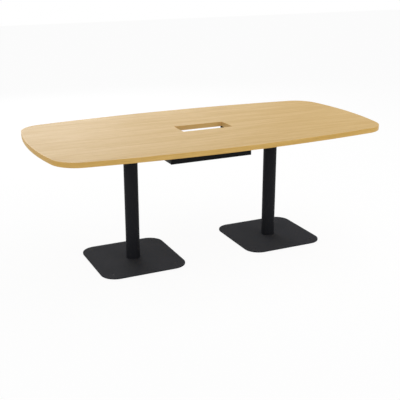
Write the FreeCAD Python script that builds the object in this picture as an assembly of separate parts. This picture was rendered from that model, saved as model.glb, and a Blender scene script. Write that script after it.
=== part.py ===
import FreeCAD, Part
import math
import os

from FreeCAD import Vector

# A meeting table with a barrel-shaped top on two column pedestals, and a cable tray under a cut-out.
# The origin is on the floor under the middle of the top. +X runs along the table, +Z is up, and -Y is
# the long side in front. All lengths are in millimetres.

# Top
TOP_HEIGHT = 740.0
TOP_LENGTH = 2018.0
TOP_WIDTH = 1000.0
SIDE_BOW = 65.0
END_BOW = 57.0
TOP_CORNER_RADIUS = 154.0
CORE_THICKNESS = 25.0
LAMINATE_THICKNESS = 1.0
EDGE_BAND_THICKNESS = 2.0

# Cable cut-out, measured inside its lining
CUTOUT_LENGTH = 308.0
CUTOUT_WIDTH = 140.0
CUTOUT_CORNER_RADIUS = 3.0
CUTOUT_BAND_THICKNESS = 1.0

# Columns
COLUMN_SPACING = 900.0
TUBE_DIAMETER = 80.0
TUBE_WALL = 2.5
TUBE_DISC_THICKNESS = 12.0
WELD_FIT = 0.05

# Base plates
BASE_SIDE = 500.0
BASE_CORNER_RADIUS = 87.0
BASE_THICKNESS = 8.0

# Plates between the columns and the top
MOUNT_SIDE = 300.0
MOUNT_CORNER_RADIUS = 25.0
MOUNT_THICKNESS = 6.0

# Countersunk screws that join a column to its two plates
COLUMN_SCREW_DIAMETER = 8.0
COLUMN_SCREW_HEAD_DIAMETER = 15.0
COLUMN_SCREW_HEAD_HEIGHT = 4.0
COLUMN_SCREW_BITE = 10.0
COLUMN_SCREW_SOCKET = 5.0
COLUMN_SCREW_SOCKET_DEPTH = 2.5
COLUMN_SCREW_RING_DIAMETER = 46.0
COLUMN_SCREW_COUNT = 4

# Bolts and threaded inserts that join a mounting plate to the board
TOP_BOLT_SPACING = 250.0
TOP_BOLT_DIAMETER = 6.0
TOP_BOLT_HEAD_DIAMETER = 12.0
TOP_BOLT_HEAD_HEIGHT = 3.5
TOP_BOLT_SOCKET = 4.0
TOP_BOLT_SOCKET_DEPTH = 2.0
TOP_BOLT_BITE = 12.0
INSERT_DIAMETER = 10.0
INSERT_LENGTH = 14.0
INSERT_HOLE_DEPTH = 17.0

# Cable tray
TRAY_LENGTH = 506.0
TRAY_DEPTH = 240.0
TRAY_DROP = 142.0
TRAY_SIDE_HEIGHT = 30.0
TRAY_END_HEIGHT = 20.0
TRAY_SHEET = 2.0
TRAY_BEND_RADIUS = 2.0
TRAY_SIDE_CORNER_RADIUS = 6.0

# Tray hangers, one folded strap each, set in from the ends of the tray
HANGER_INSET = 67.0
HANGER_WIDTH = 30.0
HANGER_THICKNESS = 3.0
HANGER_BEND_RADIUS = 4.0
HANGER_FOOT_LENGTH = 36.0

# Screws from the hanger feet up into the board
HANGER_SCREW_DIAMETER = 4.5
HANGER_SCREW_HEAD_DIAMETER = 9.0
HANGER_SCREW_HEAD_HEIGHT = 2.8
HANGER_SCREW_BITE = 16.0
HANGER_SCREW_TIP = 4.0
HANGER_SCREW_SOCKET = 3.0
HANGER_SCREW_SOCKET_DEPTH = 1.5
HANGER_SCREW_OFFSET = 21.0

# Bolts and nuts that hold the tray to its hangers
TRAY_BOLT_SPACING = 120.0
TRAY_BOLT_DIAMETER = 5.0
TRAY_BOLT_HEAD_DIAMETER = 9.5
TRAY_BOLT_HEAD_HEIGHT = 2.7
TRAY_BOLT_SOCKET = 3.0
TRAY_BOLT_SOCKET_DEPTH = 1.5
TRAY_BOLT_END = 1.5
TRAY_NUT_ACROSS_FLATS = 8.0
TRAY_NUT_HEIGHT = 4.0

# Levelling glides in the base plates
GLIDE_INSET = 60.0
GLIDE_DIAMETER = 12.0
GLIDE_SINK = 0.5
GLIDE_SOCKET = 6.0
GLIDE_SOCKET_DEPTH = 3.5
GLIDE_PAD_DIAMETER = 22.0
GLIDE_PAD_THICKNESS = 1.2
GLIDE_SPIGOT_DIAMETER = 6.0
GLIDE_SPIGOT_LENGTH = 2.8
GLIDE_STOP_GAP = 0.3

# Fits that all pieces share
THREAD_GAP = 0.05
BOLT_HOLE_GAP = 0.4
OVERRUN = 1.0

# Heights worked out from the sizes above
TOP_THICKNESS = CORE_THICKNESS + 2 * LAMINATE_THICKNESS
TOP_UNDERSIDE = TOP_HEIGHT - TOP_THICKNESS
CORE_BOTTOM = TOP_UNDERSIDE + LAMINATE_THICKNESS
CORE_TOP = CORE_BOTTOM + CORE_THICKNESS
BASE_UNDERSIDE = GLIDE_PAD_THICKNESS + GLIDE_STOP_GAP
BASE_TOP = BASE_UNDERSIDE + BASE_THICKNESS
MOUNT_UNDERSIDE = TOP_UNDERSIDE - MOUNT_THICKNESS
TRAY_UNDERSIDE = TOP_UNDERSIDE - TRAY_DROP
TRAY_FLOOR = TRAY_UNDERSIDE + TRAY_SHEET
HANGER_FOOT_UNDERSIDE = TOP_UNDERSIDE - HANGER_THICKNESS
HANGER_SPACING = TRAY_LENGTH - 2 * HANGER_INSET
HANGER_LEG_FACE = TRAY_DEPTH / 2 - TRAY_SHEET
HANGER_FOOT_END = HANGER_LEG_FACE + HANGER_FOOT_LENGTH
TUBE_BORE_RADIUS = TUBE_DIAMETER / 2 - TUBE_WALL
UP = Vector(0, 0, 1)
DOWN = Vector(0, 0, -1)


# Outlines
def rounded_wire(corners, radii):
    """Closed wire through the corners, each rounded by its own radius; a radius of zero stays sharp."""
    ends = []
    for index, (corner, radius) in enumerate(zip(corners, radii)):
        back = (corners[index - 1] - corner).normalize()
        ahead = (corners[(index + 1) % len(corners)] - corner).normalize()
        half_angle = back.getAngle(ahead) / 2
        reach = radius / math.tan(half_angle)
        inward = (back + ahead).normalize()
        middle = corner + inward * (radius / math.sin(half_angle) - radius)
        ends.append((corner + back * reach, middle, corner + ahead * reach, radius))
    edges = []
    for index, (start, middle, end, radius) in enumerate(ends):
        if radius > 0:
            edges.append(Part.Arc(start, middle, end).toShape())
        edges.append(Part.LineSegment(end, ends[(index + 1) % len(ends)][0]).toShape())
    return Part.Wire(edges)


def rounded_plate(length, width, radius, bottom, thickness):
    """Flat plate about the Z axis with four equal round corners."""
    signs = ((1, 1), (-1, 1), (-1, -1), (1, -1))
    corners = [Vector(x * length / 2, y * width / 2, bottom) for x, y in signs]
    return Part.Face(rounded_wire(corners, [radius] * len(corners))).extrude(UP * thickness)


def barrel_plate(inset, bottom, thickness):
    """Plate with the outline of the top, drawn in all round by the inset."""
    half_length = TOP_LENGTH / 2
    half_width = TOP_WIDTH / 2
    corner_x = half_length - END_BOW
    corner_y = half_width - SIDE_BOW
    side_radius = (corner_x ** 2 + SIDE_BOW ** 2) / (2 * SIDE_BOW)
    end_radius = (corner_y ** 2 + END_BOW ** 2) / (2 * END_BOW)
    side_centre = Vector(0, half_width - side_radius, bottom)
    end_centre = Vector(half_length - end_radius, 0, bottom)

    # The corner arc touches both long arcs from inside, so its centre is the far crossing of two circles.
    to_side = side_radius - TOP_CORNER_RADIUS
    to_end = end_radius - TOP_CORNER_RADIUS
    between = end_centre - side_centre
    along = (to_side ** 2 - to_end ** 2 + between.Length ** 2) / (2 * between.Length)
    across = math.sqrt(to_side ** 2 - along ** 2)
    direction = between.normalize()
    centre = side_centre + direction * along + direction.cross(UP) * across
    corner_radius = TOP_CORNER_RADIUS - inset
    from_side = (centre - side_centre).normalize()
    from_end = (centre - end_centre).normalize()
    side_touch = centre + from_side * corner_radius
    middle = centre + (from_side + from_end).normalize() * corner_radius
    end_touch = centre + from_end * corner_radius

    def mirrored(point, x_sign, y_sign):
        return Vector(point.x * x_sign, point.y * y_sign, point.z)

    edges = []
    for y_sign in (1, -1):
        side_middle = Vector(0, y_sign * (half_width - inset), bottom)
        left = mirrored(side_touch, -1, y_sign)
        edges.append(Part.Arc(left, side_middle, mirrored(side_touch, 1, y_sign)).toShape())
    for x_sign in (1, -1):
        end_middle = Vector(x_sign * (half_length - inset), 0, bottom)
        near = mirrored(end_touch, x_sign, -1)
        edges.append(Part.Arc(near, end_middle, mirrored(end_touch, x_sign, 1)).toShape())
        for y_sign in (1, -1):
            points = [mirrored(point, x_sign, y_sign) for point in (side_touch, middle, end_touch)]
            edges.append(Part.Arc(*points).toShape())
    outline = Part.Wire(Part.__sortEdges__(edges))
    return Part.Face(outline).extrude(UP * thickness)


def cutout_plate(grow, bottom, thickness):
    """Plate with the outline of the cable cut-out, grown all round."""
    length = CUTOUT_LENGTH + 2 * grow
    width = CUTOUT_WIDTH + 2 * grow
    return rounded_plate(length, width, CUTOUT_CORNER_RADIUS + grow, bottom, thickness)


# Fasteners, each about its own place, with the shank along the given direction
def rod(diameter, length, place, direction=UP):
    return Part.makeCylinder(diameter / 2, length, place, direction)


def hexagon(across_flats, length, place, direction=UP):
    """Hexagonal prism that starts at the place and runs along the direction, which is up or down."""
    corner_radius = across_flats / math.sqrt(3)
    angles = [math.radians(60 * step) for step in range(6)]
    corners = [place + Vector(corner_radius * math.cos(angle), corner_radius * math.sin(angle), 0)
               for angle in angles]
    return Part.Face(Part.makePolygon(corners + corners[:1])).extrude(direction * length)


def countersunk_shape(place, direction, length, gap):
    """Head cone and shank of a column screw, or with a gap the hole that takes them."""
    head_radius = COLUMN_SCREW_HEAD_DIAMETER / 2 + gap
    shank_radius = COLUMN_SCREW_DIAMETER / 2 + gap
    cone = Part.makeCone(head_radius, shank_radius, COLUMN_SCREW_HEAD_HEIGHT, place, direction)
    return cone.fuse(Part.makeCylinder(shank_radius, length, place, direction)).removeSplitter()


def countersunk_screw(place, direction, length):
    socket = hexagon(COLUMN_SCREW_SOCKET, COLUMN_SCREW_SOCKET_DEPTH, place, direction)
    return countersunk_shape(place, direction, length, 0).cut(socket)


def headed_bolt(diameter, length, head_diameter, head_height, socket, socket_depth, place, direction):
    """Bolt whose head sits on the place, with its shank along the direction and its socket behind."""
    crown = place - direction * head_height
    head = rod(head_diameter, head_height, crown, direction)
    bolt = head.fuse(rod(diameter, length, place, direction)).removeSplitter()
    return bolt.cut(hexagon(socket, socket_depth, crown, direction))


def ring_places(height):
    """Places of the column screws about a column's own axis."""
    radius = COLUMN_SCREW_RING_DIAMETER / 2
    angles = [math.radians(360 * (step + 0.5) / COLUMN_SCREW_COUNT)
              for step in range(COLUMN_SCREW_COUNT)]
    return [Vector(radius * math.cos(angle), radius * math.sin(angle), height) for angle in angles]


def square_places(spacing, height):
    """Four places at the corners of a square about a column's own axis."""
    signs = ((-1, -1), (1, -1), (1, 1), (-1, 1))
    return [Vector(x * spacing / 2, y * spacing / 2, height) for x, y in signs]


def line_places(spacing, height):
    """Two places across the table, one on each side of the middle."""
    return [Vector(0, y_sign * spacing / 2, height) for y_sign in (-1, 1)]


def cut_all(shape, tools):
    return shape.cut(Part.makeCompound(tools)) if tools else shape


# Pedestals, each built about its own column axis
def column_tube():
    height = MOUNT_UNDERSIDE - BASE_TOP
    foot = Vector(0, 0, BASE_TOP)
    return rod(TUBE_DIAMETER, height, foot).cut(rod(2 * TUBE_BORE_RADIUS, height, foot))


def tube_disc(bottom):
    """Disc welded into an end of the tube, tapped right through for the column screws."""
    disc = rod(2 * (TUBE_BORE_RADIUS - WELD_FIT), TUBE_DISC_THICKNESS, Vector(0, 0, bottom))
    taps = [rod(COLUMN_SCREW_DIAMETER + 2 * THREAD_GAP, TUBE_DISC_THICKNESS, place)
            for place in ring_places(bottom)]
    return cut_all(disc, taps)


def base_plate():
    plate = rounded_plate(BASE_SIDE, BASE_SIDE, BASE_CORNER_RADIUS, BASE_UNDERSIDE, BASE_THICKNESS)
    holes = [countersunk_shape(place, UP, BASE_THICKNESS, BOLT_HOLE_GAP)
             for place in ring_places(BASE_UNDERSIDE)]
    holes += [rod(GLIDE_DIAMETER + 2 * THREAD_GAP, BASE_THICKNESS, place)
              for place in square_places(BASE_SIDE - 2 * GLIDE_INSET, BASE_UNDERSIDE)]
    return cut_all(plate, holes)


def base_screws():
    length = BASE_THICKNESS + COLUMN_SCREW_BITE
    return [countersunk_screw(place, UP, length) for place in ring_places(BASE_UNDERSIDE)]


def mounting_plate():
    plate = rounded_plate(MOUNT_SIDE, MOUNT_SIDE, MOUNT_CORNER_RADIUS, MOUNT_UNDERSIDE, MOUNT_THICKNESS)
    holes = [countersunk_shape(place, DOWN, MOUNT_THICKNESS, BOLT_HOLE_GAP)
             for place in ring_places(TOP_UNDERSIDE)]
    holes += [rod(TOP_BOLT_DIAMETER + 2 * BOLT_HOLE_GAP, MOUNT_THICKNESS, place)
              for place in square_places(TOP_BOLT_SPACING, MOUNT_UNDERSIDE)]
    return cut_all(plate, holes)


def head_screws():
    length = MOUNT_THICKNESS + COLUMN_SCREW_BITE
    return [countersunk_screw(place, DOWN, length) for place in ring_places(TOP_UNDERSIDE)]


def top_bolts():
    length = MOUNT_THICKNESS + TOP_BOLT_BITE
    return [headed_bolt(TOP_BOLT_DIAMETER, length, TOP_BOLT_HEAD_DIAMETER, TOP_BOLT_HEAD_HEIGHT,
                        TOP_BOLT_SOCKET, TOP_BOLT_SOCKET_DEPTH, place, UP)
            for place in square_places(TOP_BOLT_SPACING, MOUNT_UNDERSIDE)]


def threaded_inserts():
    places = square_places(TOP_BOLT_SPACING, TOP_UNDERSIDE)
    bore = TOP_BOLT_DIAMETER + 2 * THREAD_GAP
    return [rod(INSERT_DIAMETER, INSERT_LENGTH, place).cut(rod(bore, INSERT_LENGTH, place))
            for place in places]


def glide_plug(place):
    """Threaded plug of a glide, turned by a key from above; its pad meets the floor at the place."""
    bottom = place + UP * GLIDE_PAD_THICKNESS
    top = place + UP * (BASE_TOP - GLIDE_SINK)
    plug = rod(GLIDE_DIAMETER, top.z - bottom.z, bottom)
    socket = hexagon(GLIDE_SOCKET, GLIDE_SOCKET_DEPTH, top, DOWN)
    recess = rod(GLIDE_SPIGOT_DIAMETER + 2 * THREAD_GAP, GLIDE_SPIGOT_LENGTH, bottom)
    return plug.cut(socket).cut(recess)


def glide_pad(place):
    pad = rod(GLIDE_PAD_DIAMETER, GLIDE_PAD_THICKNESS, place)
    spigot = rod(GLIDE_SPIGOT_DIAMETER, GLIDE_PAD_THICKNESS + GLIDE_SPIGOT_LENGTH, place)
    return pad.fuse(spigot).removeSplitter()


# Cable tray and its hangers
def tray_pan():
    """Folded pan: a channel of floor and two long sides, with a low flange folded up at each end."""
    half_depth = TRAY_DEPTH / 2
    outer_bend = TRAY_BEND_RADIUS + TRAY_SHEET
    end_fold = TRAY_LENGTH / 2 - outer_bend
    side_top = TRAY_UNDERSIDE + TRAY_SIDE_HEIGHT

    def side_point(y, z):
        return Vector(-TRAY_LENGTH / 2, y, z)

    inside = half_depth - TRAY_SHEET
    corners = [side_point(-half_depth, side_top), side_point(-half_depth, TRAY_UNDERSIDE),
               side_point(half_depth, TRAY_UNDERSIDE), side_point(half_depth, side_top),
               side_point(inside, side_top), side_point(inside, TRAY_FLOOR),
               side_point(-inside, TRAY_FLOOR), side_point(-inside, side_top)]
    radii = [0, outer_bend, outer_bend, 0, 0, TRAY_BEND_RADIUS, TRAY_BEND_RADIUS, 0]
    channel = Part.Face(rounded_wire(corners, radii)).extrude(Vector(TRAY_LENGTH, 0, 0))

    # The long sides have round upper corners.
    below = TRAY_UNDERSIDE - OVERRUN
    front_corners = [Vector(x * TRAY_LENGTH / 2, -half_depth - OVERRUN, z)
                     for x, z in ((-1, below), (1, below), (1, side_top), (-1, side_top))]
    front_radii = [0, 0, TRAY_SIDE_CORNER_RADIUS, TRAY_SIDE_CORNER_RADIUS]
    envelope = Part.Face(rounded_wire(front_corners, front_radii))
    channel = channel.common(envelope.extrude(Vector(0, TRAY_DEPTH + 2 * OVERRUN, 0)))

    # The floor stops at the end folds, and the flanges stand between the side bends.
    flange_width = TRAY_DEPTH - 2 * outer_bend
    pieces = []
    for sign in (-1, 1):
        def end_point(x, z):
            return Vector(sign * x, -flange_width / 2, z)

        tip = TRAY_LENGTH / 2
        end_top = TRAY_UNDERSIDE + TRAY_END_HEIGHT
        fold = [end_point(end_fold - outer_bend, TRAY_UNDERSIDE), end_point(tip, TRAY_UNDERSIDE),
                end_point(tip, end_top), end_point(tip - TRAY_SHEET, end_top),
                end_point(tip - TRAY_SHEET, TRAY_FLOOR), end_point(end_fold - outer_bend, TRAY_FLOOR)]
        fold_radii = [0, outer_bend, 0, 0, TRAY_BEND_RADIUS, 0]
        pieces.append(Part.Face(rounded_wire(fold, fold_radii)).extrude(Vector(0, flange_width, 0)))
        strip = Part.makeBox(outer_bend + OVERRUN, flange_width, TRAY_SHEET + 2 * OVERRUN,
                             Vector(0, -flange_width / 2, TRAY_UNDERSIDE - OVERRUN))
        strip.translate(Vector(end_fold if sign > 0 else -tip - OVERRUN, 0, 0))
        channel = channel.cut(strip)
    pan = channel.fuse(pieces).removeSplitter()
    holes = [rod(TRAY_BOLT_DIAMETER + 2 * BOLT_HOLE_GAP, TRAY_SHEET, place + Vector(x, 0, 0))
             for place in line_places(TRAY_BOLT_SPACING, TRAY_UNDERSIDE)
             for x in (-HANGER_SPACING / 2, HANGER_SPACING / 2)]
    return cut_all(pan, holes)


def tray_hanger():
    """Folded strap: it lies on the tray floor, rises inside both long sides and ends in two feet."""
    leg = HANGER_LEG_FACE
    inner = leg - HANGER_THICKNESS
    foot = HANGER_FOOT_END
    tight = HANGER_BEND_RADIUS
    wide = HANGER_BEND_RADIUS + HANGER_THICKNESS
    outline = [(foot, HANGER_FOOT_UNDERSIDE, 0), (foot, TOP_UNDERSIDE, 0),
               (inner, TOP_UNDERSIDE, wide), (inner, TRAY_FLOOR + HANGER_THICKNESS, tight)]
    outline += [(-y, z, radius) for y, z, radius in reversed(outline)]
    outline += [(-leg, HANGER_FOOT_UNDERSIDE, tight), (-leg, TRAY_FLOOR, wide)]
    outline += [(leg, TRAY_FLOOR, wide), (leg, HANGER_FOOT_UNDERSIDE, tight)]
    corners = [Vector(-HANGER_WIDTH / 2, y, z) for y, z, _ in outline]
    strap = Part.Face(rounded_wire(corners, [radius for _, _, radius in outline]))
    strap = strap.extrude(Vector(HANGER_WIDTH, 0, 0))
    holes = [rod(TRAY_BOLT_DIAMETER + 2 * BOLT_HOLE_GAP, HANGER_THICKNESS, place)
             for place in line_places(TRAY_BOLT_SPACING, TRAY_FLOOR)]
    holes += [rod(HANGER_SCREW_DIAMETER + 2 * BOLT_HOLE_GAP, HANGER_THICKNESS, place)
              for place in hanger_screw_places(HANGER_FOOT_UNDERSIDE)]
    return cut_all(strap, holes)


def hanger_screw_places(height):
    """Places of the screws in a hanger's two feet, about the hanger's own middle."""
    return line_places(2 * (HANGER_LEG_FACE + HANGER_SCREW_OFFSET), height)


def tray_bolts():
    length = HANGER_THICKNESS + TRAY_SHEET + TRAY_NUT_HEIGHT + TRAY_BOLT_END
    return [headed_bolt(TRAY_BOLT_DIAMETER, length, TRAY_BOLT_HEAD_DIAMETER, TRAY_BOLT_HEAD_HEIGHT,
                        TRAY_BOLT_SOCKET, TRAY_BOLT_SOCKET_DEPTH, place, DOWN)
            for place in line_places(TRAY_BOLT_SPACING, TRAY_FLOOR + HANGER_THICKNESS)]


def tray_nuts():
    bore = TRAY_BOLT_DIAMETER + 2 * THREAD_GAP
    nuts = []
    for place in line_places(TRAY_BOLT_SPACING, TRAY_UNDERSIDE):
        blank = hexagon(TRAY_NUT_ACROSS_FLATS, TRAY_NUT_HEIGHT, place, DOWN)
        nuts.append(blank.cut(rod(bore, TRAY_NUT_HEIGHT, place, DOWN)))
    return nuts


def hanger_screws():
    """Wood screws with a pan head under the hanger foot and a pointed end in the board."""
    shank = HANGER_THICKNESS + HANGER_SCREW_BITE
    screws = []
    for place in hanger_screw_places(HANGER_FOOT_UNDERSIDE):
        screw = headed_bolt(HANGER_SCREW_DIAMETER, shank, HANGER_SCREW_HEAD_DIAMETER,
                            HANGER_SCREW_HEAD_HEIGHT, HANGER_SCREW_SOCKET, HANGER_SCREW_SOCKET_DEPTH,
                            place, UP)
        point = Part.makeCone(HANGER_SCREW_DIAMETER / 2, 0, HANGER_SCREW_TIP, place + UP * shank, UP)
        screws.append(screw.fuse(point).removeSplitter())
    return screws


# Table top
def board_holes():
    """Blind holes from the underside of the top for the inserts and the hanger screws."""
    holes = []
    for x in (-COLUMN_SPACING / 2, COLUMN_SPACING / 2):
        holes += [rod(INSERT_DIAMETER + 2 * THREAD_GAP, INSERT_HOLE_DEPTH, place + Vector(x, 0, 0))
                  for place in square_places(TOP_BOLT_SPACING, TOP_UNDERSIDE)]
    for x in (-HANGER_SPACING / 2, HANGER_SPACING / 2):
        holes += [rod(HANGER_SCREW_DIAMETER + 2 * THREAD_GAP, HANGER_SCREW_BITE + HANGER_SCREW_TIP,
                      place + Vector(x, 0, 0))
                  for place in hanger_screw_places(TOP_UNDERSIDE)]
    return holes


def board_layer(bottom, thickness, holes):
    layer = barrel_plate(EDGE_BAND_THICKNESS, bottom, thickness)
    layer = layer.cut(cutout_plate(CUTOUT_BAND_THICKNESS, bottom, thickness))
    return cut_all(layer, holes)


def outer_edge_band():
    outside = barrel_plate(0, TOP_UNDERSIDE, TOP_THICKNESS)
    return outside.cut(barrel_plate(EDGE_BAND_THICKNESS, TOP_UNDERSIDE, TOP_THICKNESS))


def cutout_edge_band():
    outside = cutout_plate(CUTOUT_BAND_THICKNESS, TOP_UNDERSIDE, TOP_THICKNESS)
    return outside.cut(cutout_plate(0, TOP_UNDERSIDE, TOP_THICKNESS))


# Nodes
def save(name, solids, x=0):
    """Write one node, moved along the table; a list of solids becomes a group."""
    shape = Part.makeCompound(solids) if isinstance(solids, list) else solids.copy()
    shape.translate(Vector(x, 0, 0))
    shape.exportStep(f"parts/{name}.step")


def main():
    os.makedirs("parts", exist_ok=True)
    holes = board_holes()
    save("core_board", board_layer(CORE_BOTTOM, CORE_THICKNESS, holes))
    save("top_laminate", board_layer(CORE_TOP, LAMINATE_THICKNESS, []))
    save("under_laminate", board_layer(TOP_UNDERSIDE, LAMINATE_THICKNESS, holes))
    save("outer_edge_band", outer_edge_band())
    save("cutout_edge_band", cutout_edge_band())
    pedestal = {
        "base_plate": base_plate(),
        "base_screws": base_screws(),
        "foot_disc": tube_disc(BASE_TOP),
        "column_tube": column_tube(),
        "head_disc": tube_disc(MOUNT_UNDERSIDE - TUBE_DISC_THICKNESS),
        "head_screws": head_screws(),
        "mounting_plate": mounting_plate(),
        "top_bolts": top_bolts(),
        "threaded_inserts": threaded_inserts(),
    }
    for number, place in enumerate(square_places(BASE_SIDE - 2 * GLIDE_INSET, 0), start=1):
        pedestal[f"glide_{number}_plug"] = glide_plug(place)
        pedestal[f"glide_{number}_pad"] = glide_pad(place)
    hanger = {
        "tray_hanger": tray_hanger(),
        "tray_bolts": tray_bolts(),
        "tray_nuts": tray_nuts(),
        "hanger_screws": hanger_screws(),
    }
    for side, sign in (("left", -1), ("right", 1)):
        for name, shape in pedestal.items():
            save(f"{side}_{name}", shape, sign * COLUMN_SPACING / 2)
        for name, shape in hanger.items():
            save(f"{side}_{name}", shape, sign * HANGER_SPACING / 2)
    save("tray_pan", tray_pan())


main()
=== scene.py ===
import logging
import math
from dataclasses import dataclass
from enum import Enum

import bmesh
import bpy
from mathutils import Matrix, Vector


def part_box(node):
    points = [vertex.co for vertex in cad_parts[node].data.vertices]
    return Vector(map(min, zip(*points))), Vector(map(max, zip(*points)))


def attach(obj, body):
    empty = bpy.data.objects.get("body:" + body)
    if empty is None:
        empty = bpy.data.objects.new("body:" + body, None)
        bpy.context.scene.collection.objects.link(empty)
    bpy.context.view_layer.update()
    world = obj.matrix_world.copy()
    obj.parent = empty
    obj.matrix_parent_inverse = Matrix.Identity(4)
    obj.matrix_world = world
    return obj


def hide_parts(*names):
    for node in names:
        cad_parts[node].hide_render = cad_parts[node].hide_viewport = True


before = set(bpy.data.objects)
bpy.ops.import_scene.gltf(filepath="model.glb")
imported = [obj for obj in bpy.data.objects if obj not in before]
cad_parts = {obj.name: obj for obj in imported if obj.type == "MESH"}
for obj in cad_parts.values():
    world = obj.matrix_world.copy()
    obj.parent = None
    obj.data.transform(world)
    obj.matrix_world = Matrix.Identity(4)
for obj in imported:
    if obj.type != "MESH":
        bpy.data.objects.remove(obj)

# A barrel-shaped meeting table: wood top with a cable cut-out, two black column pedestals, black cable tray.
# Lengths are in metres. Places and overall sizes come from the frame, finer sizes are fields of each class.

Node = bpy.types.Node
Socket = bpy.types.NodeSocket
Sockets = bpy.types.NodeOutputs
Mesh = bmesh.types.BMesh
Edge = bmesh.types.BMEdge
Paint = tuple[float, float, float, float]
Point = tuple[float, float, float]
Place = tuple[float, float]
Span = tuple[float, float]
Pair = tuple[int, int]
Profile = list[tuple[float, float]]
Holes = dict[Place, Profile]
Feeds = dict[str | int, object]

LOG = logging.getLogger("meeting_table")
BODY = "table"
SIDES = ("left", "right")
GLIDE_NUMBERS = (1, 2, 3, 4)

MM = 0.001
MERGE_DISTANCE = 1e-6
CREASE_ANGLE = math.radians(32)
FLAT_ANGLE = math.radians(0.5)
LARGEST_FACE_WEIGHT = 100
ROUND_STEPS = 32
HEXAGON = 6
ORIGIN = (0, 0, 0)
UP = (0, 0, 1)
SOFT_EDGE = {"offset_type": "OFFSET", "segments": 3, "profile": 0.5, "material": -1}
# Corners of an upright section, numbered in the order inside low, outside low, outside high, inside high
OUTSIDE, INSIDE = (1, 2), (0, 3)

VECTOR, COLOUR, NUMBER = "NodeSocketVector", "NodeSocketColor", "NodeSocketFloat"
WHOLE = (0.0, 1.0)
WHITE = (1, 1, 1, 1)
# The curve of display colours: the end and slope of its straight part, then the shift and power after it
CURVE_START, CURVE_SLOPE, CURVE_SHIFT, CURVE_POWER = 0.04045, 12.92, 0.055, 2.4


# Small helpers
def paint(code: str) -> Paint:
    """Turn a display colour into the linear values that shaders take.

    Args:
        code: Six hexadecimal digits, red first.

    Returns:
        Linear red, green and blue, and full cover.
    """
    shares = [int(code[place:place + 2], 16) / 255 for place in (0, 2, 4)]
    return (*(share / CURVE_SLOPE if share <= CURVE_START
              else ((share + CURVE_SHIFT) / (1 + CURVE_SHIFT)) ** CURVE_POWER for share in shares), 1)


def foot_of(node: str) -> Vector:
    """Return the point on the floor under the middle of a node."""
    low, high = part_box(node)
    return Vector(((low.x + high.x) / 2, (low.y + high.y) / 2, 0))


def half_of(node: str) -> Vector:
    """Return half of a node's size."""
    low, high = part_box(node)
    return (high - low) / 2


def as_data(name: str, mesh: Mesh) -> bpy.types.Mesh:
    """Turn a bmesh into mesh data.

    Args:
        name: The data's name.
        mesh: The bmesh, freed here.

    Returns:
        The data.
    """
    data = bpy.data.meshes.new(name)
    mesh.to_mesh(data)
    mesh.free()
    return data


def put_in_scene(name: str, data: bpy.types.ID) -> bpy.types.Object:
    """Put data in the scene.

    Args:
        name: The object's name.
        data: A mesh, lamp or camera.

    Returns:
        The new object.
    """
    thing = bpy.data.objects.new(name, data)
    bpy.context.scene.collection.objects.link(thing)
    return thing


# Shader node groups, one for each effect that several finishes share
class GrainRun(Enum):
    """Which way the grain of a wood face runs, as how far its coordinates are squeezed."""

    ALONG_TABLE = (1.0, 1.0, 1.0)
    ROUND_EDGE = (1.0, 0.025, 1.0)


@dataclass(frozen=True)
class Pattern:
    """A layer of noise: repeats per metre along each axis, octaves and their strength, and what shows."""

    scale: Point
    octaves: float
    roughness: float = 0.5
    shown: Span | None = None


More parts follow.
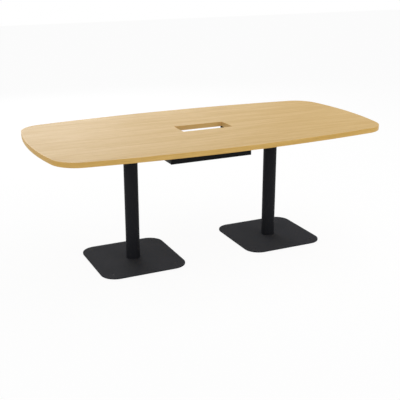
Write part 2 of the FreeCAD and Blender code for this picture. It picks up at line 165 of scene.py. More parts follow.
@dataclass
class NodeSheet:
    """A node tree with short calls for adding and joining nodes."""

    tree: bpy.types.NodeTree

    def feed(self, node: Node, values: Feeds) -> None:
        """Give a node's inputs what they take.

        Args:
            node: The node.
            values: For each input, by name or number, another node's output or a plain value.
        """
        for name, value in values.items():
            if isinstance(value, Socket):
                self.tree.links.new(value, node.inputs[name])
            else:
                node.inputs[name].default_value = value

    def add(self, kind: str, values: Feeds | None = None, **settings: object) -> Node:
        """Add a node.

        Args:
            kind: The node's type name.
            values: What its inputs take.
            **settings: Properties of the node by name.

        Returns:
            The new node.
        """
        node = self.tree.nodes.new(kind)
        for name, setting in settings.items():
            setattr(node, name, setting)
        self.feed(node, values or {})
        return node

    def own_place(self) -> Socket:
        """Return the coordinate of the piece itself."""
        return self.add("ShaderNodeTexCoord").outputs["Object"]

    def stretched(self, vector: Socket, scale: Point) -> Socket:
        """Return a coordinate scaled along X, Y and Z, so that a pattern is stretched."""
        return self.add("ShaderNodeMapping", {"Scale": scale, "Vector": vector}).outputs["Vector"]

    def ranged(self, value: Socket, source: Span, target: Span = WHOLE) -> Socket:
        """Map a value from one range to another, clamped.

        Args:
            value: The value to map.
            source: Its lower and upper end.
            target: What these ends become.

        Returns:
            The mapped value.
        """
        ends = zip(("From Min", "From Max", "To Min", "To Max"), (*source, *target))
        return self.add("ShaderNodeMapRange", {**dict(ends), "Value": value}).outputs["Result"]

    def layer(self, vector: Socket, pattern: Pattern) -> Socket:
        """Add a layer of noise.

        Args:
            vector: The coordinate that it follows.
            pattern: Its scale, octaves and range.

        Returns:
            The noise, with the range that shows spread from 0 to 1.
        """
        noise = self.add("ShaderNodeTexNoise", {
            "Scale": 1.0, "Detail": pattern.octaves, "Roughness": pattern.roughness,
            "Vector": self.stretched(vector, pattern.scale)}).outputs["Fac"]
        return self.ranged(noise, pattern.shown) if pattern.shown else noise

    def math(self, operation: str, first: Socket, second: Socket | float) -> Socket:
        """Return the sum, product or the like of two values."""
        return self.add("ShaderNodeMath", {0: first, 1: second}, operation=operation).outputs["Value"]

    def mixed(self, factor: Socket, first: Socket | Paint, second: Socket | Paint) -> Socket:
        """Blend two colours.

        Args:
            factor: 0 gives the first colour, 1 the second.
            first: The first colour.
            second: The second colour.

        Returns:
            The blended colour.
        """
        node = self.add("ShaderNodeMix", {"Factor": factor}, data_type="RGBA")
        colours = [number for number, socket in enumerate(node.inputs) if socket.type == "RGBA"]
        self.feed(node, dict(zip(colours, (first, second))))
        return next(socket for socket in node.outputs if socket.type == "RGBA")

    def relief(self, height: Socket, depth: float, strength: float = 1.0) -> Socket:
        """Return the normal of a surface that a pattern raises by a small depth."""
        return self.add("ShaderNodeBump", {
            "Distance": depth, "Strength": strength, "Height": height}).outputs["Normal"]


class EffectGroup:
    """A shader node group that is built once and placed in many materials."""

    name = "effect"
    inputs: dict[str, tuple[str, ...]] = {}
    outputs: dict[str, tuple[str, ...]] = {}

    def wire(self, sheet: NodeSheet, given: Sockets) -> Feeds:
        """Return what the group's outputs take, from its inputs."""
        raise NotImplementedError

    def tree(self) -> bpy.types.NodeTree:
        """Make the group on first use.

        Returns:
            Its tree.
        """
        found = bpy.data.node_groups.get(self.name)
        if found:
            return found
        tree = bpy.data.node_groups.new(self.name, "ShaderNodeTree")
        for way, sockets in (("INPUT", self.inputs), ("OUTPUT", self.outputs)):
            for kind, names in sockets.items():
                for name in names:
                    tree.interface.new_socket(name=name, in_out=way, socket_type=kind)
        sheet = NodeSheet(tree)
        given, result = sheet.add("NodeGroupInput"), sheet.add("NodeGroupOutput")
        sheet.feed(result, self.wire(sheet, given.outputs))
        return tree

    def place(self, sheet: NodeSheet, values: Feeds) -> Sockets:
        """Place the group in a material, feed its inputs and return its outputs."""
        return sheet.add("ShaderNodeGroup", values, node_tree=self.tree()).outputs


class StraightGrain(EffectGroup):
    """Straight wood grain along X: broad soft bands, narrow streaks, fine lines and short dark pores."""

    name = "straight_grain"
    patterns = {"Band": Pattern((1.0, 13.0, 13.0), 4.0, 0.55, (0.3, 0.72)),
                "Streak": Pattern((3.0, 52.0, 52.0), 2.0, 0.45, (0.42, 0.72)),
                "Line": Pattern((6.0, 180.0, 180.0), 3.0, 0.6, (0.35, 0.7)),
                "Pore": Pattern((18.0, 700.0, 700.0), 1.0, shown=(0.6, 0.74))}
    inputs = {VECTOR: ("Vector",), COLOUR: ("Light", "Dark", "Pore"),
              NUMBER: ("Band Strength", "Streak Strength", "Line Strength", "Pore Strength")}
    outputs = {COLOUR: ("Color",), NUMBER: ("Height", "Figure")}

    def wire(self, sheet: NodeSheet, given: Sockets) -> Feeds:
        """Lay the four patterns over each other.

        Args:
            sheet: The group's node sheet.
            given: The group's inputs.

        Returns:
            What its outputs take.
        """
        bands, streaks, lines, pores = (
            sheet.math("MULTIPLY", sheet.layer(given["Vector"], pattern), given[f"{name} Strength"])
            for name, pattern in self.patterns.items())
        figure = sheet.math("ADD", sheet.math("ADD", bands, streaks), lines)
        wood = sheet.mixed(figure, given["Light"], given["Dark"])
        return {"Color": sheet.mixed(pores, wood, given["Pore"]),
                "Height": sheet.math("SUBTRACT", lines, pores), "Figure": figure}


class SprayedCoat(EffectGroup):
    """The fine orange-peel surface of a sprayed or moulded coat, with a little unevenness of tone."""

    name = "sprayed_coat"
    clouds = Pattern((9.0, 9.0, 9.0), 5.0, 0.6, (0.3, 0.75))
    peel = Pattern((900.0, 900.0, 900.0), 2.0)
    roughness_spread = 0.08
    inputs = {VECTOR: ("Vector",), COLOUR: ("Colour", "Worn Colour"),
              NUMBER: ("Unevenness", "Roughness")}
    outputs = {COLOUR: ("Color",), NUMBER: ("Roughness", "Height")}

    def wire(self, sheet: NodeSheet, given: Sockets) -> Feeds:
        """Lay soft clouds and a fine peel over the coat.

        Args:
            sheet: The group's node sheet.
            given: The group's inputs.

        Returns:
            What its outputs take.
        """
        clouds = sheet.layer(given["Vector"], self.clouds)
        tone = sheet.math("MULTIPLY", clouds, given["Unevenness"])
        spread = sheet.ranged(clouds, WHOLE, (-self.roughness_spread, self.roughness_spread))
        return {"Color": sheet.mixed(tone, given["Colour"], given["Worn Colour"]),
                "Roughness": sheet.math("ADD", given["Roughness"], spread),
                "Height": sheet.layer(given["Vector"], self.peel)}


# Finishes, with their colours as display codes
@dataclass(frozen=True)
class Finish:
    """What every finish has: a name, from which its material's name is made, and a way to make its material.
    """

    slot: str

    def look(self, sheet: NodeSheet) -> Feeds:
        """Return what the inputs of the surface shader take."""
        raise NotImplementedError

    def material(self) -> bpy.types.Material:
        """Make the finish's material on first use.

        Returns:
            The material.
        """
        name = f"{self.slot}_finish"
        found = bpy.data.materials.get(name)
        if found:
            return found
        material = bpy.data.materials.new(name)
        material.use_nodes = True
        sheet = NodeSheet(material.node_tree)
        sheet.feed(sheet.tree.nodes["Principled BSDF"], self.look(sheet))
        return material


@dataclass(frozen=True)
class WoodFinish(Finish):
    """Wood decor with straight grain under a matt surface."""

    light: str
    dark: str
    pore: str
    run: GrainRun = GrainRun.ALONG_TABLE
    band_strength: float = 0.35
    streak_strength: float = 0.58
    line_strength: float = 0.6
    pore_strength: float = 0.6
    roughness: float = 0.42
    roughness_spread: float = 0.08
    specular: float = 0.3
    relief: float = 0.04 * MM
    relief_strength: float = 0.6

    def look(self, sheet: NodeSheet) -> Feeds:
        """Give the wood its grain's colour, sheen and relief.

        Args:
            sheet: The material's node sheet.

        Returns:
            What the inputs of the surface shader take.
        """
        grain = StraightGrain().place(sheet, {
            "Vector": sheet.stretched(sheet.own_place(), self.run.value),
            "Light": paint(self.light), "Dark": paint(self.dark), "Pore": paint(self.pore),
            "Band Strength": self.band_strength, "Streak Strength": self.streak_strength,
            "Line Strength": self.line_strength, "Pore Strength": self.pore_strength})
        sheen = (self.roughness, self.roughness + self.roughness_spread)
        return {"Base Color": grain["Color"], "Roughness": sheet.ranged(grain["Figure"], WHOLE, sheen),
                "Normal": sheet.relief(grain["Height"], self.relief, self.relief_strength),
                "Specular IOR Level": self.specular}


@dataclass(frozen=True)
class CoatFinish(Finish):
    """Powder coat, moulded plastic or plated metal: one tone with a fine skin."""

    colour: str
    worn_colour: str
    roughness: float = 0.5
    unevenness: float = 0.5
    metallic: float = 0.0
    specular: float = 0.5
    relief: float = 0.03 * MM
    relief_strength: float = 0.5

    def look(self, sheet: NodeSheet) -> Feeds:
        """Give the coat its tone, roughness and relief.

        Args:
            sheet: The material's node sheet.

        Returns:
            What the inputs of the surface shader take.
        """
        coat = SprayedCoat().place(sheet, {
            "Vector": sheet.own_place(), "Colour": paint(self.colour),
            "Worn Colour": paint(self.worn_colour), "Unevenness": self.unevenness,
            "Roughness": self.roughness})
        return {"Base Color": coat["Color"], "Roughness": coat["Roughness"],
                "Normal": sheet.relief(coat["Height"], self.relief, self.relief_strength),
                "Metallic": self.metallic, "Specular IOR Level": self.specular}


@dataclass(frozen=True)
class ChipFinish(Finish):
    """Pressed wood chips, as on the raw faces of a board."""

    light: str
    dark: str
    chips_per_metre: float = 320.0
    roughness: float = 0.85
    relief: float = 0.2 * MM

    def look(self, sheet: NodeSheet) -> Feeds:
        """Give the chips their tones and relief.

        Args:
            sheet: The material's node sheet.

        Returns:
            What the inputs of the surface shader take.
        """
        chips = sheet.add("ShaderNodeTexVoronoi", {
            "Scale": self.chips_per_metre, "Vector": sheet.own_place()})
        ramp = sheet.add("ShaderNodeValToRGB", {"Fac": chips.outputs["Distance"]})
        for stop, tone in zip(ramp.color_ramp.elements, (self.dark, self.light)):
            stop.color = paint(tone)
        return {"Base Color": ramp.outputs["Color"], "Roughness": self.roughness,
                "Normal": sheet.relief(chips.outputs["Distance"], self.relief)}


# Colours of wood are light, dark and pore; of a coat, fresh and worn; of chips, light and dark
TOP_FACE = WoodFinish("oak_laminate", "d5b57b", "c8a567", "ad8750", roughness=0.46, specular=0.1)
EDGE = WoodFinish("oak_edge_band", "e7bf72", "d8ad5b", "b2853e", GrainRun.ROUND_EDGE, band_strength=0.6)
LINING = WoodFinish("oak_cutout_lining", "e3be7b", "d4a964", "aa8144", GrainRun.ROUND_EDGE)
BACKING = WoodFinish("backing_laminate", "d6bd94", "c8a97b", "b08d5d", pore_strength=0.35, roughness=0.6)
CHIPBOARD = ChipFinish("chipboard", "c2a377", "8d6c45")
# The base plates' coat is the same black powder coat as the columns' and tray's, painted lighter: painted
# sheen, the reflection of the bright surroundings on the plates' upward faces put into the colour, with the
# specular turned down
SHEEN_PAINTED_BASE_COAT = CoatFinish("black_base_steel", "37383d", "3d3f41", roughness=0.7, specular=0.015)
COLUMN_COAT = CoatFinish("black_column_steel", "202125", "26272a", roughness=0.55, specular=0.06)
TRAY_COAT = CoatFinish("black_tray_steel", "17181a", "1d1e20", roughness=0.36, specular=0.06)
PLAIN_STEEL = CoatFinish("plain_steel", "8f8f90", "77736c", roughness=0.4, metallic=1.0)
ZINC = CoatFinish("zinc_steel", "b9bcc0", "989ba0", roughness=0.32, metallic=1.0)
BLACK_SCREW = CoatFinish("black_screw_steel", "202022", "2c2b2a", roughness=0.5, specular=0.1)
NYLON = CoatFinish("black_nylon", "262626", "303030", roughness=0.6)


# Mesh building
@dataclass(frozen=True)
class Stretch:
    """A stretch of an outline: a straight shift, or a turn that is clockwise seen from above."""

    shift: Point = ORIGIN
    centre: Point = ORIGIN
    angle: float = 0.0
    steps: int = 1

    def run(self, mesh: Mesh, edges: list[Edge]) -> list[Edge]:
        """Carry the open edges of a profile along the stretch.

        Args:
            mesh: Where the faces go.
            edges: The profile at the start of the stretch.

        Returns:
            The profile at its end.
        """
        verts = list({vert for edge in edges for vert in edge.verts})
        made = bmesh.ops.spin(mesh, geom=verts + edges, cent=self.centre, axis=UP, dvec=self.shift,
                              angle=-self.angle, steps=self.steps)
        return [part for part in made["geom_last"] if isinstance(part, Edge)]


def draw_line(points: list[Point], closed: bool) -> Mesh:
    """Start a mesh with a line of edges.

    Args:
        points: The corners in order.
        closed: Whether the last corner joins the first.

    Returns:
        A new mesh with the line alone.
    """
    mesh = bmesh.new()
    verts = [mesh.verts.new(point) for point in points]
    ahead = verts[1:] + verts[:1] if closed else verts[1:]
    for pair in zip(verts, ahead):
        mesh.edges.new(pair)
    mesh.verts.ensure_lookup_table()
    return mesh


def run_round(node: str, width: float, closed: bool, rounded: Pair, arris: float,
              quarter: list[Stretch]) -> Mesh:
    """Carry a section round a quarter of an outline, about the Z axis, and mirror the result to all four.

    Args:
        node: The node whose size the outside has.
        width: How far the section reaches inwards.
        closed: Whether the section has an inner side.
        rounded: Which corners of the section are rounded, OUTSIDE or INSIDE.
        arris: The size of the rounding.
        quarter: The stretches from the middle of the long side to the middle of the end.

    Returns:
        The faces, none of them past the node's size along X.
    """
    (low, high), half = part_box(node), half_of(node)
    inside = half.y - width
    section = [(0, inside, low.z), (0, half.y, low.z), (0, half.y, high.z), (0, inside, high.z)]
    mesh = draw_line(section, closed)
    bmesh.ops.bevel(mesh, geom=[mesh.verts[number] for number in rounded], offset=arris, affect="VERTICES",
                    **SOFT_EDGE)
    edges = list(mesh.edges)
    for stretch in quarter:
        edges = stretch.run(mesh, edges)
    for axis in ("X", "Y"):
        bmesh.ops.mirror(mesh, geom=mesh.verts[:] + mesh.edges[:] + mesh.faces[:], matrix=Matrix.Identity(4),
                         merge_dist=MERGE_DISTANCE, axis=axis)
    bmesh.ops.remove_doubles(mesh, verts=mesh.verts, dist=MERGE_DISTANCE)
    for vert in mesh.verts:
        vert.co.x = min(max(vert.co.x, -half.x), half.x)
    return mesh


def round_corner(node: str, radius: float, steps: int) -> list[Stretch]:
    """Return the stretches of a quarter of a rectangle with round corners.

    Args:
        node: The node whose size the rectangle has.
        radius: Radius of its corners.
        steps: Number of segments in each corner.

    Returns:
        A straight stretch, the corner and another straight stretch.
    """
    half = half_of(node)
    across, along = half.x - radius, half.y - radius
    corner = Stretch(centre=(across, along, 0), angle=math.pi / 2, steps=steps)
    return [Stretch((across, 0, 0)), corner, Stretch((0, -along, 0))]


def ring(mesh: Mesh, radius: float, place: Point, steps: int = ROUND_STEPS) -> list[Edge]:
    """Draw a level ring of edges.

    Args:
        mesh: Where the ring goes.
        radius: Distance of its corners from the middle.
        place: The middle.
        steps: Number of edges.

    Returns:
        The ring's edges.
    """
    verts = bmesh.ops.create_circle(mesh, cap_ends=False, radius=radius, segments=steps,
                                    matrix=Matrix.Translation(place))["verts"]
    return list({edge for vert in verts for edge in vert.link_edges})


def fill_level(mesh: Mesh, edges: list[Edge]) -> None:
    """Fill the level face between an outline and the holes in it."""
    bmesh.ops.triangle_fill(mesh, use_beauty=True, use_dissolve=False, edges=edges, normal=UP)


def lathe(profile: Profile, closed: bool = False, steps: int = ROUND_STEPS) -> Mesh:
    """Spin a profile of radius and height about the Z axis, starting at the +Y side as a ring does.

    Args:
        profile: Radius and height of each point.
        closed: Whether the last point joins the first.
        steps: Number of segments round the axis.

    Returns:
        The faces.
    """
    mesh = draw_line([(0, radius, height) for radius, height in profile], closed)
    bmesh.ops.spin(mesh, geom=mesh.verts[:] + mesh.edges[:], cent=ORIGIN, axis=UP, angle=2 * math.pi,
                   steps=steps, use_merge=True)
    return mesh


def to_corner(across: float) -> float:
    """Return how far the corners of a hexagon are from its middle, from its width across two flats."""
    return across / math.sqrt(3)


def key_socket(mesh: Mesh, mouth: float, across: float, height: float, depth: float) -> None:
    """Close a ring with a face that has a hexagonal socket in it.

    Args:
        mesh: Where the faces go.
        mouth: Radius of the ring that is closed.
        across: Width of the socket between two flats.
        height: Height of the ring.
        depth: How far the socket goes up from there; below zero it goes down.
    """
    rim = ring(mesh, mouth, (0, 0, height))
    flats = ring(mesh, to_corner(across), (0, 0, height), HEXAGON)
    fill_level(mesh, rim + flats)
    bmesh.ops.edgeloop_fill(mesh, edges=Stretch((0, 0, depth)).run(mesh, flats))


def softened_copy(node: str, arris: float) -> Mesh:
    """Copy a node's mesh, merge it and round its sharp edges.

    Args:
        node: The node to copy.
        arris: Size of the rounding.

    Returns:
        The copy.
    """
    mesh = bmesh.new()
    mesh.from_mesh(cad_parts[node].data)
    bmesh.ops.remove_doubles(mesh, verts=mesh.verts, dist=MERGE_DISTANCE)
    bmesh.ops.dissolve_limit(mesh, angle_limit=FLAT_ANGLE, use_dissolve_boundaries=False, verts=mesh.verts,
                             edges=mesh.edges)
    sharp = [edge for edge in mesh.edges if edge.is_manifold and edge.calc_face_angle() > CREASE_ANGLE]
    bmesh.ops.bevel(mesh, geom=sharp, offset=arris, affect="EDGES", clamp_overlap=True, **SOFT_EDGE)
    return mesh


def steady_shading(piece: bpy.types.Object) -> None:
    """Keep flat faces evenly lit up to their soft edges, by normals that follow the larger faces.

    Args:
        piece: The object, whose mesh is exchanged for one with such normals.
    """
    by_area = piece.modifiers.new("by_area", "WEIGHTED_NORMAL")
    by_area.weight, by_area.keep_sharp = LARGEST_FACE_WEIGHT, True
    first = piece.data
    steady = piece.evaluated_get(bpy.context.evaluated_depsgraph_get())
    piece.data = bpy.data.meshes.new_from_object(steady)
    piece.modifiers.clear()
    bpy.data.meshes.remove(first)
    piece.data.name = piece.name


def finished_piece(name: str, mesh: Mesh, finish: Finish, replaced: str, place: Point = ORIGIN,
                   body: str = BODY) -> None:
    """Turn a bmesh into a dressed piece that rides on a body.

    Args:
        name: The piece's name.
        mesh: The finished bmesh, freed here.
        finish: What it is covered with.
        replaced: The node that it stands for.
        place: Where the bmesh's own zero point goes.
        body: The body that it moves with.
    """
    bmesh.ops.translate(mesh, verts=mesh.verts, vec=place)
    bmesh.ops.remove_doubles(mesh, verts=mesh.verts, dist=MERGE_DISTANCE)
    bmesh.ops.recalc_face_normals(mesh, faces=mesh.faces)
    data = as_data(name, mesh)
    data.shade_smooth()
    data.set_sharp_from_angle(angle=CREASE_ANGLE)
    data.materials.append(finish.material())
    piece = put_in_scene(name, data)
    steady_shading(piece)
    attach(piece, body)
    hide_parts(replaced)
    LOG.info("%s: %d faces, %s", name, len(piece.data.polygons), finish.slot)


def dress_node(node: str, finish: Finish) -> None:
    """Give a node that keeps its own shape a finish.

    Args:
        node: The node's name.
        finish: What it is covered with.
    """
    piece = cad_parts[node]
    piece.data.materials.clear()
    piece.data.materials.append(finish.material())
    LOG.info("%s: own shape, %s", node, finish.slot)


# Fasteners
class Fastener:
    """A fastener that is shaped about the Z axis and set in place as often as it is needed."""

    def shape(self) -> Mesh:
        """Return the fastener's own mesh."""
        raise NotImplementedError

    def reach(self) -> float:
        """Return the distance from its axis to its outside along Y."""
        raise NotImplementedError

    def stand_out(self) -> float:
        """Return how far it reaches below its own height zero."""
        raise NotImplementedError

    def build(self, name: str, node: str, places: list[Place], finish: Finish, upwards: bool = True) -> None:
        """Build the fastener at several places as one piece.

        Args:
            name: The piece's name.
            node: The node that it stands for.
            places: Where the fasteners stand, seen from above.
            finish: What they are covered with.
            upwards: Whether they point up.
        """
        low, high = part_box(node)
        level = low.z + self.stand_out() if upwards else high.z - self.stand_out()
        mesh = bmesh.new()
        for place in places:
            own = self.shape()
            if not upwards:
                bmesh.ops.rotate(own, verts=own.verts, cent=ORIGIN, matrix=Matrix.Rotation(math.pi, 3, "X"))
            bmesh.ops.translate(own, verts=own.verts, vec=(*place, level))
            data = as_data(name, own)
            mesh.from_mesh(data)
            bpy.data.meshes.remove(data)
        finished_piece(name, mesh, finish, node)


class HeadForm(Enum):
    """The shape of a screw's head."""

    DOMED = "domed"
    COUNTERSUNK = "countersunk"


@dataclass(frozen=True)
class Screw(Fastener):
    """A screw or bolt with a key socket; its head bears at height zero and its shank runs up from there."""

    form: HeadForm
    shank_radius: float
    shank_length: float
    head_radius: float
    head_height: float
    socket_across: float
    socket_depth: float
    point_length: float = 0.0
    thread_pitch: float = 1.0 * MM
    thread_depth: float = 0.4 * MM
    thread_start: float = 5.0 * MM
    socket_margin: float = 0.5 * MM
    rim: float = 0.2 * MM
    dome_wall: float = 0.35
    dome_steps: int = 6

    def stand_out(self) -> float:
        """Return how far the head stands out from the face that it bears on."""
        return 0.0 if self.form is HeadForm.COUNTERSUNK else self.head_height

    def reach(self) -> float:
        """Return the radius of the head."""
        return self.head_radius

    def head(self, mouth: float) -> Profile:
        """Return the head's outline from the mouth of the socket to the shank.

        Args:
            mouth: Radius of the flat round the socket.

        Returns:
            Radius and height of each point.
        """
        if self.form is HeadForm.COUNTERSUNK:
            return [(mouth, 0), (self.head_radius - self.rim, 0), (self.head_radius, self.rim),
                    (self.shank_radius, self.head_height)]
        wall = self.dome_wall * self.head_height
        angles = [math.pi / 2 * step / self.dome_steps for step in range(self.dome_steps + 1)]
        dome = [(mouth + (self.head_radius - mouth) * math.sin(angle),
                 -wall - (self.head_height - wall) * math.cos(angle)) for angle in angles]
        return [*dome, (self.head_radius, -self.rim), (self.head_radius - self.rim, 0),
                (self.shank_radius, 0)]

    def thread(self) -> Profile:
        """Draw the threaded part of the shank and its end.

        Returns:
            Radius and height of each point.
        """
        pitch, root = self.thread_pitch, self.shank_radius - self.thread_depth
        turns = int((self.shank_length - self.thread_start) / pitch)
        first = self.shank_length - turns * pitch
        outline = [(self.shank_radius, first)]
        for turn in range(turns):
            crest = first + turn * pitch
            outline += [(root, crest + pitch / 2), (self.shank_radius, crest + pitch)]
        if self.point_length:
            return [*outline, (0, self.shank_length + self.point_length)]
        return [*outline[:-1], (root, self.shank_length), (0, self.shank_length)]

    def shape(self) -> Mesh:
        """Turn the head and the shank, and sink the key socket.

        Returns:
            The screw.
        """
        mouth = to_corner(self.socket_across) + self.socket_margin
        own = lathe(self.head(mouth) + self.thread())
        key_socket(own, mouth, self.socket_across, -self.stand_out(), self.socket_depth)
        bmesh.ops.remove_doubles(own, verts=own.verts, dist=MERGE_DISTANCE)
        return own


@dataclass(frozen=True)
class Nut(Fastener):
    """A hexagonal nut with chamfered corners; its upper face is at height zero."""

    across: float
    height: float
    bore_radius: float
    chamfer: float = 0.5 * MM
    bore_chamfer: float = 0.3 * MM
    steps: int = 36

    def reach(self) -> float:
        """Return the distance from the axis to a flat."""
        return self.across / 2

    def stand_out(self) -> float:
        """Return the nut's height."""
        return self.height

    def shape(self) -> Mesh:
        """Turn a chamfered ring and cut its six flats.

        Returns:
            The nut.
        """
        corner = to_corner(self.across)
        inner, outer = self.bore_radius + self.bore_chamfer, corner - self.chamfer
        drop = self.chamfer / 2
        own = lathe([(self.bore_radius, -self.bore_chamfer), (inner, 0), (outer, 0), (corner, -drop),
                     (corner, drop - self.height), (outer, -self.height), (inner, -self.height),
                     (self.bore_radius, self.bore_chamfer - self.height)], closed=True, steps=self.steps)
        for flat in range(HEXAGON):
            angle = 2 * math.pi / HEXAGON * (flat + 0.5)
            outwards = Vector((math.cos(angle), math.sin(angle), 0))
            cut = bmesh.ops.bisect_plane(own, geom=own.verts[:] + own.edges[:] + own.faces[:],
                                         dist=MERGE_DISTANCE, plane_co=outwards * self.across / 2,
                                         plane_no=outwards, clear_outer=True)
            bmesh.ops.edgeloop_fill(own, edges=[part for part in cut["geom_cut"] if isinstance(part, Edge)])
        return own


# Sub-assemblies
@dataclass
class Tabletop:
    """The board with its two laminates, the band round its rim and the lining of its cable cut-out."""

    side_bow: float = 65 * MM
    end_bow: float = 57 * MM
    corner_radius: float = 154 * MM
    band_thickness: float = 2 * MM
    band_arris: float = 0.7 * MM
    cutout_corner_radius: float = 3 * MM
    lining_thickness: float = 1 * MM
    lining_arris: float = 0.4 * MM
    side_steps: int = 48
    corner_steps: int = 28
    end_steps: int = 24
    cutout_corner_steps: int = 7

    def rim_quarter(self, node: str) -> list[Stretch]:
        """Return the quarter of the rim from the middle of the long side to the middle of the end.

        Args:
            node: The node whose size the rim has.

        Returns:
            The turns along the side, the corner and the end.
        """
        half = half_of(node)
        corner_x, corner_y = half.x - self.end_bow, half.y - self.side_bow
        side_radius = (corner_x ** 2 + self.side_bow ** 2) / (2 * self.side_bow)
        end_radius = (corner_y ** 2 + self.end_bow ** 2) / (2 * self.end_bow)
        side_centre = Vector((0, half.y - side_radius, 0))
        end_centre = Vector((half.x - end_radius, 0, 0))

        # The corner touches both long arcs from inside, so its centre is the far crossing of two circles.
        to_side, to_end = side_radius - self.corner_radius, end_radius - self.corner_radius
        between = end_centre - side_centre
        along = (to_side ** 2 - to_end ** 2 + between.length_squared) / (2 * between.length)
        direction = between.normalized()
        sideways = direction.cross(UP)
        centre = side_centre + direction * along + sideways * math.sqrt(to_side ** 2 - along ** 2)
        from_side, from_end = centre - side_centre, centre - end_centre
        side_angle = math.atan2(from_side.x, from_side.y)
        end_angle = math.atan2(from_end.y, from_end.x)
        corner_angle = math.pi / 2 - side_angle - end_angle
        return [Stretch(centre=tuple(centre), angle=angle, steps=steps) for centre, angle, steps in (
            (side_centre, side_angle, self.side_steps), (centre, corner_angle, self.corner_steps),
            (end_centre, end_angle, self.end_steps))]

    def build(self) -> None:
        """Build and dress the whole top."""
        dress_node("top_laminate", TOP_FACE)
        dress_node("under_laminate", BACKING)
        dress_node("core_board", CHIPBOARD)
        node = "outer_edge_band"
        band = run_round(node, self.band_thickness, True, OUTSIDE, self.band_arris, self.rim_quarter(node))
        finished_piece("rim_band", band, EDGE, node)
        node, radius = "cutout_edge_band", self.cutout_corner_radius + self.lining_thickness
        lining = run_round(node, self.lining_thickness, True, INSIDE, self.lining_arris,
                           round_corner(node, radius, self.cutout_corner_steps))
        finished_piece("cutout_lining", lining, LINING, node)


@dataclass(frozen=True)
class Plate:
    """A square plate at one end of a column, with four sunk screw holes and four plain ones."""

    name: str
    node: str
    finish: Finish
    corner_radius: float
    arris: float
    sunk_from_below: bool
    hole_radius: float
    hole_square: float
    corner_steps: int = 20
    lip_in_arrises: int = 4

    def shape(self, node: str, holes: Holes) -> Mesh:
        """Make the plate about the Z axis, with round corners and softened edges.

        Args:
            node: The full name of the node whose size it has.
            holes: For each hole's place, the radius and height of its rings from below.

        Returns:
            The plate.
        """
        low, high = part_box(node)
        mesh = run_round(node, self.lip_in_arrises * self.arris, False, OUTSIDE, self.arris,
                         round_corner(node, self.corner_radius, self.corner_steps))
        for face_height, row in ((low.z, 0), (high.z, -1)):
            loop = [edge for edge in mesh.edges if edge.is_boundary
                    and all(abs(vert.co.z - face_height) < MERGE_DISTANCE for vert in edge.verts)]
            for place, rings in holes.items():
                loop += ring(mesh, rings[row][0], (*place, face_height))
            fill_level(mesh, loop)
        for place, rings in holes.items():
            loops = [ring(mesh, radius, (*place, height)) for radius, height in rings]
            for lower, upper in zip(loops, loops[1:]):
                bmesh.ops.bridge_loops(mesh, edges=lower + upper)
            bmesh.ops.remove_doubles(mesh, verts=mesh.verts, dist=MERGE_DISTANCE)
        return mesh


